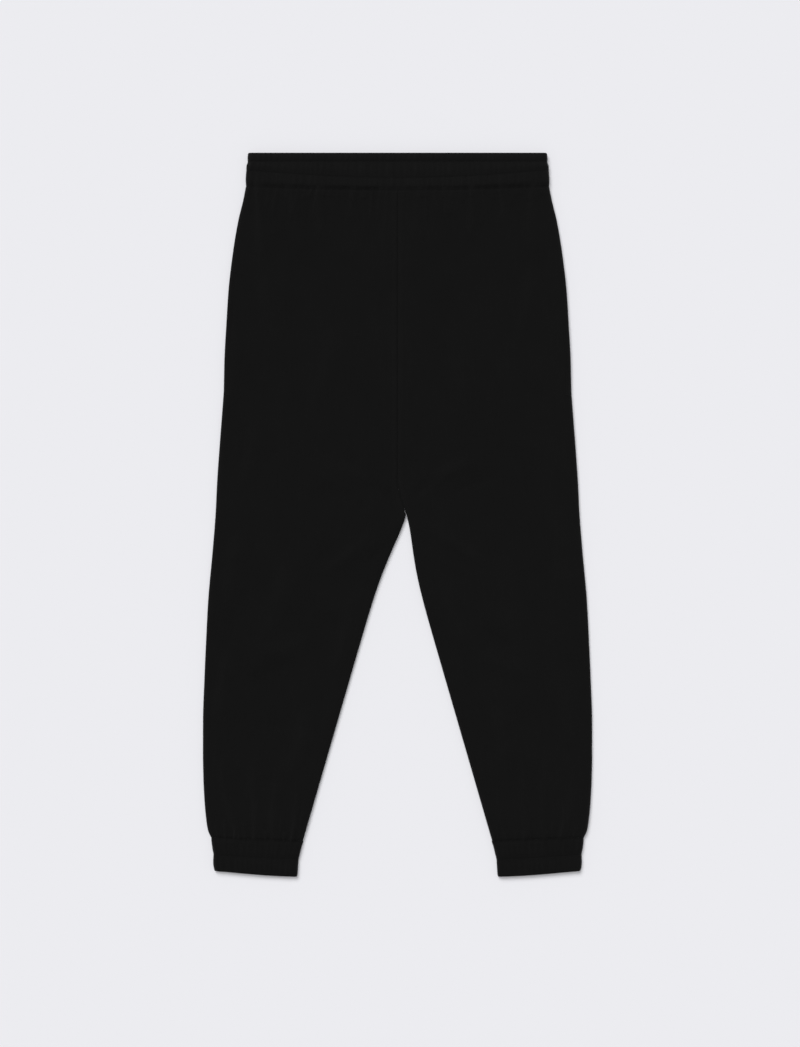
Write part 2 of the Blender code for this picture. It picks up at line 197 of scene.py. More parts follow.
def curve_through(xs, ys):
    """A smooth curve through points, which never swings past them."""
    steps = np.diff(ys) / np.diff(xs)
    before, after = steps[:-1], steps[1:]
    both = before * after > 0.0
    inner = np.where(both, 2.0 * before * after / np.where(both, before + after, 1.0), 0.0)
    slopes = np.concatenate((steps[:1], inner, steps[-1:]))

    def value(x):
        x = np.clip(x, xs[0], xs[-1])
        i = np.clip(np.searchsorted(xs, x, side="right") - 1, 0, len(xs) - 2)
        span = xs[i + 1] - xs[i]
        t = (x - xs[i]) / span
        bend = slopes[i] * span * (t - 2 * t**2 + t**3) + slopes[i + 1] * span * (t**3 - t**2)
        return ys[i] + (ys[i + 1] - ys[i]) * (3 * t**2 - 2 * t**3) + bend

    return value


def curves_through(table):
    """A curve for each later column of a table, over the first."""
    xs, *columns = np.array(table, dtype=float).T
    return [curve_through(xs, ys) for ys in columns]


half_width_at, lay_height_at = curves_through(SIDE_ROWS)


def place(x, drop, z):
    """Points of the scene from distances across, down and up."""
    x, drop, z = np.broadcast_arrays(x, drop, z)
    return np.stack((x, LENGTH / 2 - drop, z), axis=-1) * MM


# ---------------- how the cloth lies


def crotch_lean(drop):
    """How far the centre seams and the inseams lean to the left near the crotch."""
    below = drop - (CROTCH + SAG)
    lower = np.exp(-((np.maximum(below, 0.0) / LEAN_BELOW) ** LEAN_BELOW_POWER))
    upper = np.maximum(1.0 + below / LEAN_ABOVE, 0.0) ** LEAN_ABOVE_POWER
    return CROTCH_LEAN * np.minimum(lower, upper)


def inner_edge(side, face, drop):
    """X of a leg's inner edge: the centre seam above the crotch and the inseam below it."""
    below = drop - (CROTCH + SAG)
    half_gap = LEG_SPREAD * SPREAD_START * np.logaddexp(0.0, below / SPREAD_START)
    opened = smooth_step((below + SLIT_TOP) / SLIT_RAMP) * smooth_step(1.0 - below / SLIT_END)
    edge = crotch_lean(drop) + side * (half_gap + SLIT * opened + SEAM_GAP / 2)
    if face == "back":
        edge = edge - BACK_SEAM_SHIFT * smooth_step((SHIFT_ENDS - drop) / SHIFT_FADE)
    return edge


def sag_at(share, side_drop):
    """Extra drop of a point that lies at this share of the way from the inner edge to the side."""
    down_leg = smooth_step((side_drop - WAIST_SEAM) / (CROTCH - WAIST_SEAM))
    return SAG * blend(1.0 - share**2, 1.0 - share, down_leg)


def crease_rise(creases, x, drop):
    """Height that creases add at each point."""
    total = np.zeros(np.broadcast(x, drop).shape)
    for crease in creases:
        run_x = crease.foot_x - crease.top_x
        run_drop = crease.foot_drop - crease.top_drop
        length = math.hypot(run_x, run_drop)
        from_x, from_drop = x - crease.top_x, drop - crease.top_drop
        along = (from_x * run_x + from_drop * run_drop) / length**2
        off = (from_x * run_drop - from_drop * run_x) / length
        within = np.clip(along, 0.0, 1.0)
        off = off - crease.bow * 4.0 * within * (1.0 - within)
        strength = np.ones_like(total)
        width = crease.half_width * np.where(off > 0.0, 1.0 + CREASE_SKEW, 1.0 - CREASE_SKEW)
        if crease.held != "top":
            strength = strength * smooth_step(along / CREASE_FADE)
        else:
            width = width * blend(HELD_WIDTH, FREE_WIDTH, within)
        if crease.held != "foot":
            strength = strength * smooth_step((1.0 - along) / CREASE_FADE)
        else:
            width = width * blend(FREE_WIDTH, HELD_WIDTH, within)
        total += crease.rise * strength * bump_at(off, width)
    return total


# Small gathers stand from start to end along a seam. Each is longer than the shortest by up to the extra.
# A higher power makes more of them short, and a fan turns the longer ones outwards.
GatherPlan = namedtuple("GatherPlan", "start end extra power fan rise half_width spacing")
WAIST_PLAN = GatherPlan(
    start=-203.0, end=203.0, extra=58.0, power=2.2, fan=0.0012,
    rise=(0.38, 1.00), half_width=(2.8, 4.6), spacing=(8.0, 15.0),
)
CUFF_PLAN = GatherPlan(
    start=133.0, end=255.0, extra=46.0, power=1.9, fan=0.0022,
    rise=(0.35, 0.90), half_width=(2.6, 4.2), spacing=(7.0, 12.5),
)
GATHER_SHORTEST = 12.0
GATHER_BOW, GATHER_DRIFT = (-1.5, 1.5), (-3.0, 3.0)
WAIST_HALF_WIDTH = 210.0
CUFF_TOP_OUTER, CUFF_TOP_MIDDLE, CUFF_TOP_INNER = 257.5, 193.0, 129.8


def gather_places(draw, plan):
    """Where gathers stand along a seam, and how long they are."""
    x = plan.start
    while x < plan.end:
        yield x, GATHER_SHORTEST + plan.extra * draw.random() ** plan.power
        x += draw.uniform(*plan.spacing)


def waist_gathers(seed):
    """Small gathers that run down from the seam under the waistband."""
    draw = np.random.default_rng(seed)
    gathers = []
    for x, length in gather_places(draw, WAIST_PLAN):
        seam = WAIST_SEAM + SAG * (1.0 - (x / WAIST_HALF_WIDTH) ** 2)
        rise = draw.uniform(*WAIST_PLAN.rise)
        half_width = draw.uniform(*WAIST_PLAN.half_width)
        bow = draw.uniform(*GATHER_BOW)
        foot_x = x * (1.0 + WAIST_PLAN.fan * length) + draw.uniform(*GATHER_DRIFT)
        gathers.append(Crease(x, seam, foot_x, seam + length, half_width, rise, bow, "top"))
    return gathers


def cuff_gathers(seed, side):
    """Small gathers that run up the leg from the seam over a cuff."""
    draw = np.random.default_rng(seed)
    gathers = []
    for x, length in gather_places(draw, CUFF_PLAN):
        seam = CUFF_SEAM + SAG * (CUFF_TOP_OUTER - x) / (CUFF_TOP_OUTER - CUFF_TOP_INNER)
        top_x = blend(CUFF_TOP_MIDDLE, x, 1.0 + CUFF_PLAN.fan * length) + draw.uniform(*GATHER_DRIFT)
        rise = draw.uniform(*CUFF_PLAN.rise)
        half_width = draw.uniform(*CUFF_PLAN.half_width)
        bow = draw.uniform(*GATHER_BOW)
        gathers.append(Crease(side * top_x, seam - length, side * x, seam, half_width, rise, bow, "foot"))
    return gathers


SWELL = 0.2


def slow_swell(x, drop):
    """Long shallow waves, because cloth never lies quite flat."""
    broad = 1.3 * np.sin(x / 37.0 + 0.6) * np.sin(drop / 71.0 + 1.1)
    slanted = 0.8 * np.sin(x / 23.0 - drop / 61.0)
    close = 0.5 * np.sin(x / 17.0 + drop / 39.0 + 2.0)
    return SWELL * (broad + slanted + close)


def seam_ripple(along, seed):
    """Uneven ripple along a sewn seam, between -1 and 1."""
    broken = np.sin(along / 2.3 + seed) * np.sin(along / 9.1 + 2.0 * seed)
    return 0.6 * broken + 0.4 * np.sin(along / 1.45 + 3.0 * seed)


def mouth_opening(side_drop):
    """1 along a pocket's mouth and 0 beyond it."""
    opening = smooth_step((side_drop - MOUTH_TOP) / MOUTH_RAMP)
    closing = smooth_step((MOUTH_FOOT - side_drop) / MOUTH_RAMP)
    return opening * closing


class Lay:
    """The creases of one face of the legs, and the small gathers at its seams."""

    def __init__(self, creases, seed):
        self.main = creases
        self.gathers = waist_gathers(seed) + cuff_gathers(seed + 1, 1) + cuff_gathers(seed + 2, -1)

    def rise(self, x, drop):
        return crease_rise(self.main, x, drop) + slow_swell(x, drop)

    def fine_rise(self, x, drop):
        return crease_rise(self.gathers, x, drop)


FRONT_LAY = Lay(FRONT_CREASES, FRONT_SEED)
BACK_LAY = Lay([c._replace(top_x=-c.top_x, foot_x=-c.foot_x, bow=-c.bow) for c in FRONT_CREASES], BACK_SEED)
BACK_SHARE = 0.5  # the back's creases are pressed flatter
BACK_DENT = 0.9  # the most that one of them lifts the cloth

# How a point's tone changes for each millimetre that it lies proud or deep: paler on ridges and crests,
# darker with painted shade in grooves, troughs and stitched rows
RELIEF_SHADE, GROOVE_SHADE, CASING_RELIEF_SHADE = 0.08, 0.6, 0.6
EDGE_RUB = 0.5  # at the turn of a panel's edge
FOLD_RUB = 0.7  # at a casing's fold


def back_dent(broad):
    """How far the back's creases lift its cloth off the surface."""
    return BACK_DENT * (1.0 - np.exp(-BACK_SHARE * np.maximum(broad, 0.0) / BACK_DENT))


# ---------------- meshes

SHARP_ANGLE = 62  # degrees; a steeper turn between two faces shows as an edge
DOWN_COLUMN = 5  # the column of a casing's loops along which lengths down it are measured


def add_object(name, data):
    thing = bpy.data.objects.new(name, data)
    bpy.context.scene.collection.objects.link(thing)
    return thing


def graded_drops(start, end, detail):
    """Drops from start to end, close together near both ends and near the crotch."""
    drops = [start]
    while drops[-1] < end:
        nearest = min(abs(drops[-1] - other) for other in (start, end, CROTCH))
        drops.append(drops[-1] + min(detail.fine + detail.growth * nearest, detail.coarse))
    drops = np.array(drops)
    return start + (drops - start) * (end - start) / (drops[-1] - start)


def make_mesh(name, points, faces, cloth_places, wear_and_shade, laps=()):
    """An object of quads whose faces point outwards.

    Its UV map holds each point's place on the cloth. Laps are the cloth's lengths round the piece, for where
    its end meets its start. Wear and shade makes a point paler above 0, and darker with painted shade below
    0.
    """
    first, second, third, fourth = (points[faces[:, i]] for i in range(4))
    volume = np.einsum("ij,ij->i", first, np.cross(second, third)).sum()
    volume += np.einsum("ij,ij->i", first, np.cross(third, fourth)).sum()
    if volume < 0.0:
        faces = faces[:, ::-1]
    mesh = bpy.data.meshes.new(name)
    mesh.from_pydata(points.tolist(), [], faces.tolist())
    layer = mesh.uv_layers.new(name="cloth")
    corners = cloth_places[faces]
    for axis, lap in enumerate(laps):
        along = corners[:, :, axis]
        along[along < along.max(axis=1, keepdims=True) - lap / 2] += lap
    layer.data.foreach_set("uv", corners.astype(np.float32).ravel())
    worn = mesh.attributes.new("wear_and_shade", "FLOAT", "POINT")
    worn.data.foreach_set("value", wear_and_shade.astype(np.float32).ravel())
    mesh.shade_smooth()
    mesh.set_sharp_from_angle(angle=math.radians(SHARP_ANGLE))
    return add_object(name, mesh)


def quads_between(near, far):
    """Quads between two grids' rows of vertex numbers."""
    near_next, far_next = np.roll(near, -1, axis=-1), np.roll(far, -1, axis=-1)
    return np.stack((near, near_next, far_next, far), axis=-1).reshape(-1, 4)


def make_wall(name, skin, lining, cloth_places, wear_and_shade):
    """A closed wall of cloth between two grids of points."""
    rows, columns = skin.shape[:2]
    ring = np.concatenate((skin, lining[:, ::-1]), axis=1)
    ring_places = np.concatenate((cloth_places, cloth_places[:, ::-1]), axis=1)
    ring_wear_and_shade = np.concatenate((wear_and_shade, 0.0 * wear_and_shade), axis=1)
    index = np.arange(rows * 2 * columns).reshape(rows, 2 * columns)
    faces = [quads_between(index[:-1], index[1:])]
    for row, turned in ((index[0], True), (index[-1], False)):
        outer, inner = row[:columns], row[: columns - 1 : -1]
        cap = np.stack((outer[:-1], outer[1:], inner[1:], inner[:-1]), axis=-1)
        faces.append(cap[:, ::-1] if turned else cap)
    return make_mesh(
        name, ring.reshape(-1, 3), np.concatenate(faces), ring_places.reshape(-1, 2), ring_wear_and_shade
    )


def make_ring(name, loops, cloth_places, wear_and_shade):
    """A closed ring from loops of points, the last of which joins the first."""
    laps = (
        cloth_places[0, -1, 0] + np.linalg.norm(loops[0, -1] - loops[0, 0]),
        cloth_places[-1, 0, 1] + np.linalg.norm(loops[-1, DOWN_COLUMN] - loops[0, DOWN_COLUMN]),
    )
    index = np.arange(loops.shape[0] * loops.shape[1]).reshape(loops.shape[:2])
    faces = quads_between(index, np.roll(index, -1, axis=0))
    return make_mesh(name, loops.reshape(-1, 3), faces, cloth_places.reshape(-1, 2), wear_and_shade, laps)


def run_lengths(points, axis):
    """Distance along each line of points from its start."""
    steps = np.linalg.norm(np.diff(points, axis=axis), axis=-1)
    lengths = np.cumsum(steps, axis=axis)
    return np.concatenate((np.zeros_like(np.take(lengths, [0], axis=axis)), lengths), axis=axis)


# ---------------- leg panels

PanelDetail = namedtuple("PanelDetail", "fine coarse growth edge_steps flat_steps")
FRONT_DETAIL = PanelDetail(fine=0.9, coarse=4.6, growth=0.04, edge_steps=9, flat_steps=140)
BACK_DETAIL = PanelDetail(fine=1.3, coarse=6.0, growth=0.05, edge_steps=7, flat_steps=84)


def panel_columns(side, face, side_drop, detail):
    """X of each column and of the lining under it, and how it takes part in the edge's roll."""
    inner = inner_edge(side, face, side_drop + SAG)
    outer = side * half_width_at(side_drop)
    inseam_roll = smooth_step((side_drop - CROTCH) / EDGE_ROLL)
    angles = np.pi / 2 * np.arange(detail.edge_steps) / detail.edge_steps
    flat = np.arange(detail.flat_steps + 1) / detail.flat_steps

    def turned(edge, inward, angle):
        turn = 1.0 - np.cos(angle)
        groove = EDGE_GROOVE * bump_at(EDGE_ROLL * angle, SEAM_REACH)
        skin_x = edge + inward * (EDGE_ROLL * turn + groove)
        lining_x = edge + inward * blend(CLOTH, EDGE_ROLL, turn)
        return skin_x, lining_x

    inner_x, inner_in = turned(inner, side, angles)
    inner_plain = inner + side * EDGE_ROLL * (1.0 - np.cos(angles))
    inner_x = blend(inner_plain, inner_x, inseam_roll)
    inner_in = blend(inner_plain, inner_in, inseam_roll)
    flat_x = blend(inner + side * EDGE_ROLL, outer - side * EDGE_ROLL, flat)
    outer_x, outer_in = turned(outer, -side, angles[::-1])

    x = np.concatenate((inner_x, flat_x, outer_x), axis=1)
    x_in = np.concatenate((inner_in, flat_x, outer_in), axis=1)
    sine = np.concatenate((np.sin(angles), np.ones_like(flat), np.sin(angles[::-1])))
    fullness = np.ones_like(x)
    fullness[:, : detail.edge_steps] = inseam_roll
    return inner, outer, x, x_in, blend(1.0, sine, fullness), 1.0 - inseam_roll


def face_levels(face, x, drop, height, grooves):
    """Z of a panel's outer surface and of its lining, away from its rolled edges."""
    if face == "front":
        top = height + FRONT_LAY.rise(x, drop)
        return top + FRONT_LAY.fine_rise(x, drop) - grooves, top - CLOTH
    dent = back_dent(BACK_LAY.rise(x, drop))
    return np.maximum(dent + BACK_SHARE * BACK_LAY.fine_rise(x, drop) + grooves, 0.0), dent + CLOTH


def seam_grooves(side_drop, from_centre, above_crotch):
    """Depth of the grooves at the seams that a panel's flat face meets."""
    at_waist = side_drop - WAIST_SEAM
    at_cuff = CUFF_SEAM - side_drop
    ripple = 1.0 + CENTRE_RIPPLE * seam_ripple(side_drop, 1.0)
    groove = SEAM_DIP * (bump_at(at_waist, SEAM_REACH) + bump_at(at_cuff, SEAM_REACH))
    centre = CENTRE_DIP * ripple * bump_at(from_centre, SEAM_REACH)
    ridge_start = smooth_step(from_centre / ALLOWANCE_INNER_RAMP)
    ridge_end = smooth_step((ALLOWANCE - from_centre) / ALLOWANCE_OUTER_RAMP)
    deepened = above_crotch * smooth_step(at_waist / CENTRE_START)
    return groove + deepened * (centre - ALLOWANCE_RISE * ridge_start * ridge_end)


def make_panel(name, side, face):
    """One leg panel as a wall of fleece, from the waistband's seam to the cuff's."""
    front = face == "front"
    detail = FRONT_DETAIL if front else BACK_DETAIL
    top, foot = WAIST_SEAM + SEAM_GAP / 2, CUFF_SEAM - SEAM_GAP / 2
    side_drop = graded_drops(top, foot, detail)[:, None]
    inner, outer, x, x_in, rise, above_crotch = panel_columns(side, face, side_drop, detail)
    share = (x - inner) / (outer - inner)
    drop = side_drop + sag_at(share, side_drop)
    height = lay_height_at(side_drop)
    middle = height / 2

    grooves = seam_grooves(side_drop, np.abs(x - inner), above_crotch)
    opening = mouth_opening(side_drop)
    from_row = np.abs(outer - x) - EDGE_ROLL
    grooves = grooves + MOUTH_STITCH_DIP * opening * bump_at(from_row, MOUTH_STITCH_REACH)
    stand_off = (SEAM_GAP / 2 + MOUTH_LIFT * opening * (share > 0.5)) * (1.0 - rise)

    outer_level, inner_level = face_levels(face, x, drop, height, grooves)
    stand_off = stand_off if front else -stand_off
    z = middle + (outer_level - middle) * rise + stand_off
    z_in = middle + (inner_level - middle) * rise + stand_off

    skin, lining = place(x, drop, z), place(x_in, drop, z_in)
    across = run_lengths(skin, axis=1)
    across = side * (across - across[:, across.shape[1] // 2, None])
    down = np.broadcast_to(side_drop * MM, across.shape)
    lift = outer_level - height if front else 0.0
    # Paler at the turn of the edge with wear, and on ridges; darker with painted shade in seam grooves and
    # troughs.
    wear_and_shade = EDGE_RUB * (1.0 - rise) - GROOVE_SHADE * grooves + RELIEF_SHADE * lift * rise
    return make_wall(name, skin, lining, np.stack((across, -down), axis=-1), wear_and_shade), skin


# ---------------- elastic casings

Casing = namedtuple(
    "Casing",
    "edges height drop_at slit mouth roll stitch_rows full_height across turn seed pucker seam",
)
JOIN_FROM = 0.88  # from this share of its height, a casing takes the form of the leg that it is sewn to
CASING_EDGE = 0.045  # share of a casing's height over which its cloth turns in at the fold
FACE_STEPS, FOLD_STEPS, LINING_STEPS = 46, 11, 14
PUCKER_SPACING = (5.0, 9.5)
PUCKER_CLOSING = 7.0  # from the last pucker round to the first
PUCKER_END_ROOM = 6.0  # no further pucker starts this close to the end
PUCKER_STRAY = 0.9  # how far a pucker strays sideways from one channel to the next
PUCKER_WIDTH, PUCKER_HEIGHT = (1.7, 2.9), (0.45, 1.0)
PUCKER_FULLNESS = 0.6  # below 1, a pucker keeps its height closer to its rows of stitches
PUCKER_LEVEL, PUCKER_LEVEL_UNDER = 0.45, 1.1  # the pucker height that counts as level, above and below
SIDE_PUCKER = 0.3  # share of a pucker's lift that moves a casing's edge sideways


def flat_loop(across, turn):
    """Places round a flattened tube: the share of the way along a face, and the turn sideways and up."""
    along = np.arange(across + 1) / across
    angle = np.linspace(np.pi / 2, -np.pi / 2, turn + 1)[1:-1]
    share = np.concatenate((along, np.ones_like(angle), along[::-1], np.zeros_like(angle)))
    sideways = np.concatenate((0 * along, np.cos(angle), 0 * along, -np.cos(angle)))
    upward = np.concatenate((0 * along + 1, np.sin(angle), 0 * along - 1, -np.sin(angle)))
    return share, sideways, upward


def pucker_field(around, length, seed, channels):
    """Height of the puckers round a casing in each channel between its rows, from 0 to about 1."""
    draw = np.random.default_rng(seed)
    centres = [0.0]
    while centres[-1] < length - PUCKER_END_ROOM:
        centres.append(centres[-1] + draw.uniform(*PUCKER_SPACING))
    centres = np.array(centres) * length / (centres[-1] + PUCKER_CLOSING)
    fields = []
    for _ in range(channels):
        here = centres + draw.normal(0.0, PUCKER_STRAY, len(centres))
        width = draw.uniform(*PUCKER_WIDTH, len(centres))
        height = draw.uniform(*PUCKER_HEIGHT, len(centres))
        off = (around[:, None] - here + length / 2) % length - length / 2
        fields.append((height * bump_at(off, width)).sum(axis=1))
    return np.array(fields)


def casing_profile(stitch_rows):
    """Places down a casing's outer face, over its fold and up its lining: share, depth in the wall, turn."""
    rows = np.concatenate((np.linspace(1.0, CASING_EDGE, FACE_STEPS), stitch_rows))
    face = np.unique(np.round(rows, 5))[::-1]
    angle = np.linspace(0.0, np.pi, FOLD_STEPS)[1:-1]
    back = np.linspace(CASING_EDGE, 1.0, LINING_STEPS)
    share = np.concatenate((face, np.full_like(angle, CASING_EDGE), back))
    depth = np.concatenate((0 * face, (1.0 - np.cos(angle)) / 2, 0 * back + 1))
    turn = np.concatenate((0 * face, np.sin(angle), 0 * back))
    return share[:, None], depth[:, None], turn[:, None]


def casing_lift(casing, share, around, under):
    """How far puckers lift a casing's face, and its stitches and its seam draw it in."""
    length = around[-1] + 1.0
    bounds = np.array((0.0, *casing.stitch_rows, 1.0))
    fields = pucker_field(around, length, casing.seed, len(bounds) - 1)
    puckers = np.zeros((len(share), len(around)))
    for field, start, end in zip(fields, bounds[:-1], bounds[1:]):
        within = np.clip((share - start) / (end - start), 0.0, 1.0)
        swell = np.sin(np.pi * within) ** PUCKER_FULLNESS
        swell = np.where((share >= start) & (share <= end), swell, 0.0)
        if start == 0.0:
            swell = np.where((share <= end) & (within < 0.5), 1.0, swell)
        puckers = puckers + swell * field
    pinch = np.zeros_like(share)
    for row in casing.stitch_rows:
        pinch = pinch + PINCH * bump_at((share - row) * CASING_HEIGHT, PINCH_REACH)
    seam = SEAM_DIP * bump_at((1.0 - share) * CASING_HEIGHT, SEAM_REACH)
    lift = casing.pucker * (puckers - np.where(under, PUCKER_LEVEL_UNDER, PUCKER_LEVEL))
    return np.where(under, np.minimum(lift, 0.0), lift) - pinch - seam


def casing_points(casing, share, depth, turn):
    """Points of a casing: a loop for each row of its profile."""
    along, sideways, upward = flat_loop(casing.across, casing.turn)
    left, right = casing.edges(share)
    height = casing.height(share)
    slit = blend(casing.mouth, casing.slit, smooth_step(share / MOUTH_SHARE))
    low = UNDER_SHARE * (casing.full_height - height)
    middle = low + height / 2

    outer_x = left + casing.roll + along * (right - left - 2 * casing.roll) + casing.roll * sideways
    outer_z = middle + height / 2 * upward
    wall = (height - slit) / 2
    inner_roll = np.minimum(casing.roll - 1.0, slit)
    inner_left, inner_right = left + wall, right - wall
    inner_x = inner_left + inner_roll + along * (inner_right - inner_left - 2 * inner_roll)
    inner_x = inner_x + inner_roll * sideways
    inner_z = middle + slit / 2 * upward

    mean_x = np.broadcast_to(outer_x.mean(axis=0), outer_x.shape[1:])
    around = run_lengths(np.stack((mean_x, upward * casing.full_height / 2), axis=-1), axis=0)
    under = upward < 0.0
    lift = casing_lift(casing, share, around, under) * (1.0 - depth)

    seam_x = outer_x[0]
    seam_middle = lay_height_at(casing.seam) / 2
    levels = [
        face_levels(face, seam_x, casing.drop_at(1.0, seam_x), 2 * seam_middle, SEAM_DIP)[0]
        for face in ("front", "back")
    ]
    seam_z = seam_middle + np.abs(upward) * (np.where(under, levels[1], levels[0]) - seam_middle)
    join = smooth_step((share - JOIN_FROM) / (1.0 - JOIN_FROM)) * (1.0 - depth)

    x = blend(outer_x, inner_x, depth) + SIDE_PUCKER * sideways * lift
    z = blend(blend(outer_z, inner_z, depth) + upward * lift, seam_z, join)
    drop = blend(casing.drop_at(share, x), casing.drop_at(0.0 * share, x), turn)
    # Paler on pucker crests and, with wear, round the fold; darker with painted shade between puckers, in
    # the stitched rows and at the seam.
    wear_and_shade = CASING_RELIEF_SHADE * lift + FOLD_RUB * turn
    return place(x, drop, z), around, wear_and_shade


def make_casing(name, casing):
    """An elastic casing, and the loops of its points on which its stitches lie."""
    share, depth, turn = casing_profile(casing.stitch_rows)
    loops, around, wear_and_shade = casing_points(casing, share, depth, turn)
    down = run_lengths(loops[:, DOWN_COLUMN], axis=0)
    cloth = np.stack(np.broadcast_arrays(around * MM, down[:, None]), axis=-1)
    thing = make_ring(name, loops, cloth, np.broadcast_to(wear_and_shade, loops.shape[:2]))
    stitched = [loops[int(np.argmin(np.abs(share[:, 0] - row)))] for row in casing.stitch_rows]
    return thing, stitched


def waistband_casing():
    side_share, height, half_width = curves_through(BAND_ROWS)

    def edges(share):
        return -half_width(share), half_width(share)

    def drop_at(share, x):
        outward = np.clip(np.abs(x) / half_width(share), 0.0, 1.0)
        seam = WAIST_SEAM + SAG * (1.0 - outward**2) - SEAM_GAP / 2
        return seam * blend(share, side_share(share), outward**2)

    return Casing(
        edges, height, drop_at, BAND_SLIT, BAND_MOUTH, BAND_ROLL, BAND_STITCH_ROWS,
        full_height=10.4, across=330, turn=16, seed=BAND_SEED, pucker=0.85, seam=WAIST_SEAM,
    )


def cuff_casing(side):
    height, outer, inner = curves_through(CUFF_ROWS)

    def edges(share):
        if side > 0:
            return inner(share), outer(share)
        return -outer(share), -inner(share)

    def drop_at(share, x):
        inward = (outer(share) - np.abs(x)) / (outer(share) - inner(share))
        seam = CUFF_SEAM + SAG * inward + SEAM_GAP / 2
        bow = HEM_BOW * np.sin(np.pi * np.clip(inward, 0.0, 1.0) ** HEM_BOW_POWER)
        return blend(HEM + HEM_SAG * inward + bow, seam, share)

    return Casing(
        edges, height, drop_at, CUFF_SLIT, CUFF_MOUTH, CUFF_ROLL, CUFF_STITCH_ROWS,
        full_height=7.9, across=110, turn=14, seed=CUFF_SEED + side, pucker=0.75, seam=CUFF_SEAM,
    )


# ---------------- pocket bags

BAG_DOWN_STEPS, BAG_ACROSS_STEPS, BAG_TURN_STEPS = 66, 32, 9


def make_pocket_bag(name, side):
    """A folded bag of thin jersey between the front and the back of a leg, open at the side seam."""
    (reach_at,) = curves_through(BAG_ROWS)
    drop = np.linspace(BAG_ROWS[0][0], BAG_ROWS[-1][0], BAG_DOWN_STEPS)[:, None]
    start = half_width_at(drop) - BAG_INSET
    end = start - reach_at(drop)
    share = np.linspace(0.0, 1.0, BAG_ACROSS_STEPS)
    turn = np.linspace(0.0, np.pi, BAG_TURN_STEPS)[1:-1]
    flat_x = side * blend(start, end, share)
    turn_x = side * end + 0.0 * turn
    x = np.concatenate((flat_x, turn_x, flat_x[:, ::-1]), axis=1)
    upward = np.concatenate((0 * share + 1, np.cos(turn), 0 * share - 1))
    outward = np.concatenate((0 * share, np.sin(turn), 0 * share))
    front_rise = np.minimum(FRONT_LAY.rise(x, drop), BAG_LIFT)
    back_rise = back_dent(BACK_LAY.rise(x, drop))
    high = lay_height_at(drop) + front_rise - CLOTH - BAG_GAP
    low = CLOTH + back_rise + BAG_GAP
    middle, half = (high + low) / 2, (high - low) / 2
    half_in = half - BAG_CLOTH
    skin = place(x - side * half * outward, drop, middle + half * upward)
    lining = place(x - side * half_in * outward, drop, middle + half_in * upward)
    across = run_lengths(skin, axis=1)
    down = np.broadcast_to(-drop * MM, across.shape)
    return make_wall(name, skin, lining, np.stack((across, down), axis=-1), np.zeros_like(across))


# ---------------- stitches

THREAD_RADIUS = 0.22
ROW_MEASURES = (3.0, 2.5, 0.25, 0.0)  # pitch, length, rise and turn of the stitches in a row
TACK_MEASURES = (0.5, 2.4, 0.3, math.pi / 2)  # the same in a bar tack
TACK_FROM, TACK_TO = -1, 7  # the columns between which a bar tack runs, from the row at the mouth
PAST_MOUTH = 6.0  # the mouth's stitches run this far past its foot
STITCH_SWAY = 0.05  # radians by which a stitch may lie askew
STITCH_SIZES = (0.92, 1.06)
ARC_STEPS, THREAD_SIDES = 6, 6

Stitching = namedtuple("Stitching", "points outward pitch length rise turn", defaults=ROW_MEASURES)


def set_inputs(tree, node, inputs):
    """Sets a node's inputs, by name or number, to values or to the sockets of other nodes."""
    for key, value in inputs.items():
        socket = node.inputs[key]
        if isinstance(value, bpy.types.NodeSocket):
            tree.links.new(value, socket)
        else:
            socket.default_value = value


def add_node(tree, kind, inputs=(), **settings):
    """Adds a node and returns its outputs."""
    node = tree.nodes.new(kind)
    for key, value in settings.items():
        setattr(node, key, value)
    set_inputs(tree, node, dict(inputs))
    return node.outputs


def add_maths(tree, operation, *values):
    return add_node(tree, "ShaderNodeMath", dict(enumerate(values)), operation=operation)[0]


